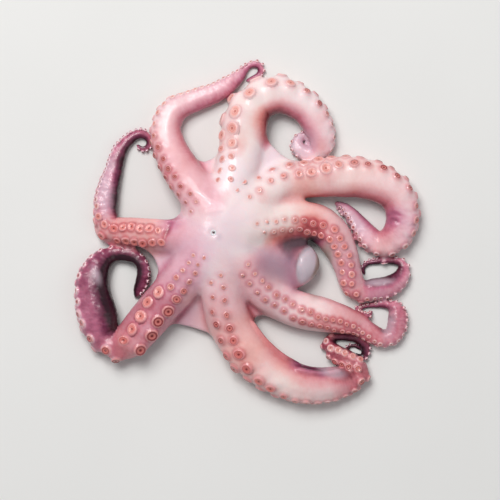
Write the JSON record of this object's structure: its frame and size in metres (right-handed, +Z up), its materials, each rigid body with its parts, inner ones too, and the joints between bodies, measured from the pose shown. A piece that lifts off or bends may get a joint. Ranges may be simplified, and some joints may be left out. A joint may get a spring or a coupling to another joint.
{
  "type": "raw octopus",
  "caption": "Raw octopus lying mouth up, its suckered arms spread and curled about a raised crown, with webs between their roots and the rounded mantle showing at one side.",
  "frame": {"origin": "the spot on the ground straight below the mouth, on the flat underside that the animal lies on", "axes": "+Z up, out of the crown; +X towards the side where the mantle shows; +Y towards the two arms that reach furthest that way, in the direction of the picture's top"},
  "size_m": [0.3028, 0.3024, 0.0521],
  "materials": {
    "octopus_flesh": "wet raw skin, pale cream and pink at the crown, rose to dark purple on the backs of the arms, with a moist gloss"
  },
  "bodies": {
    "root": {"octopus": "octopus_flesh"}
  },
  "joints": []
}
